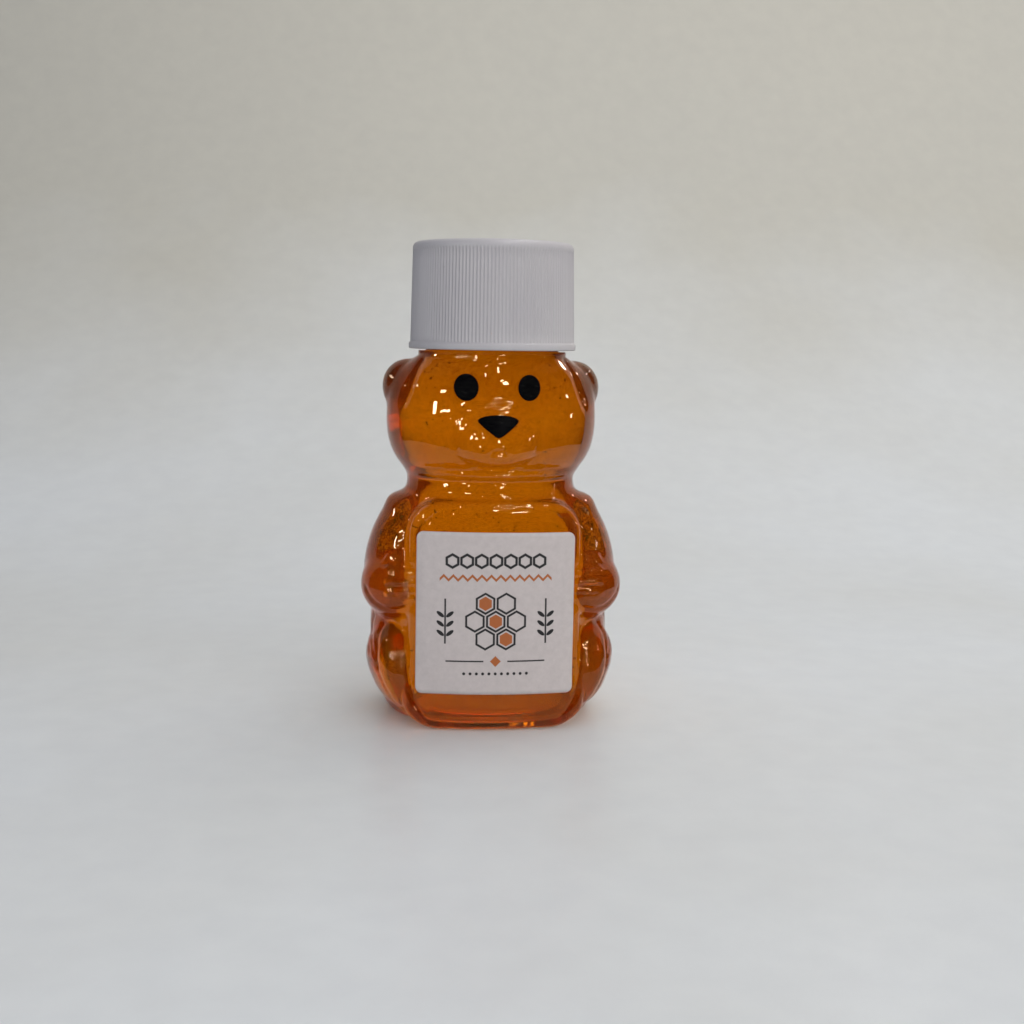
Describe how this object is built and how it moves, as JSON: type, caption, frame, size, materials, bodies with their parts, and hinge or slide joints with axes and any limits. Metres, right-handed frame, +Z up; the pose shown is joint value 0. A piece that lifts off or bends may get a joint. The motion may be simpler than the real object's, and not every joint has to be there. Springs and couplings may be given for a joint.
{
  "type": "honey bear bottle",
  "caption": "Small clear bear-shaped squeeze bottle filled with amber honey, with a square paper label on its front bib and a white ribbed screw cap.",
  "frame": {"origin": "centre of the base on the neck's axis, on the surface that the bottle stands on", "axes": "+Z up along the neck, -Y the way the bear's face and label look, +X towards the bear's left hand (the viewer's right)"},
  "size_m": [0.043, 0.0327, 0.0775],
  "materials": {
    "clear_plastic": "clear blown bottle plastic, smooth and glossy",
    "honey": "clear amber liquid with fine dark specks",
    "label_paper": "uncoated off-white label paper",
    "black_paint": "glossy black bottle paint",
    "liner_foam": "pressed white foam",
    "white_plastic": "satin white moulded plastic"
  },
  "bodies": {
    "bottle_body": {"bottle": "clear_plastic", "honey": "honey", "front_label": "label_paper", "eye_left": "black_paint", "eye_right": "black_paint", "nose": "black_paint"},
    "liner_body": {"cap_liner": "liner_foam"},
    "cap_body": {"cap": "white_plastic"}
  },
  "joints": [
    {"name": "cap_lift", "type": "slide", "parent": "bottle_body", "child": "liner_body", "axis": [0, 0, 1], "range_m": [0, 0.0225]},
    {"name": "cap_turn", "type": "hinge", "parent": "liner_body", "child": "cap_body", "pos_m": [0, 0, 0.0761], "axis": [0, 0, 1], "range_deg": [0, 2520]}
  ],
  "couplings": [
    {"joint": "cap_lift", "follows": "cap_turn", "m_per_rad": 0.00050532}
  ]
}
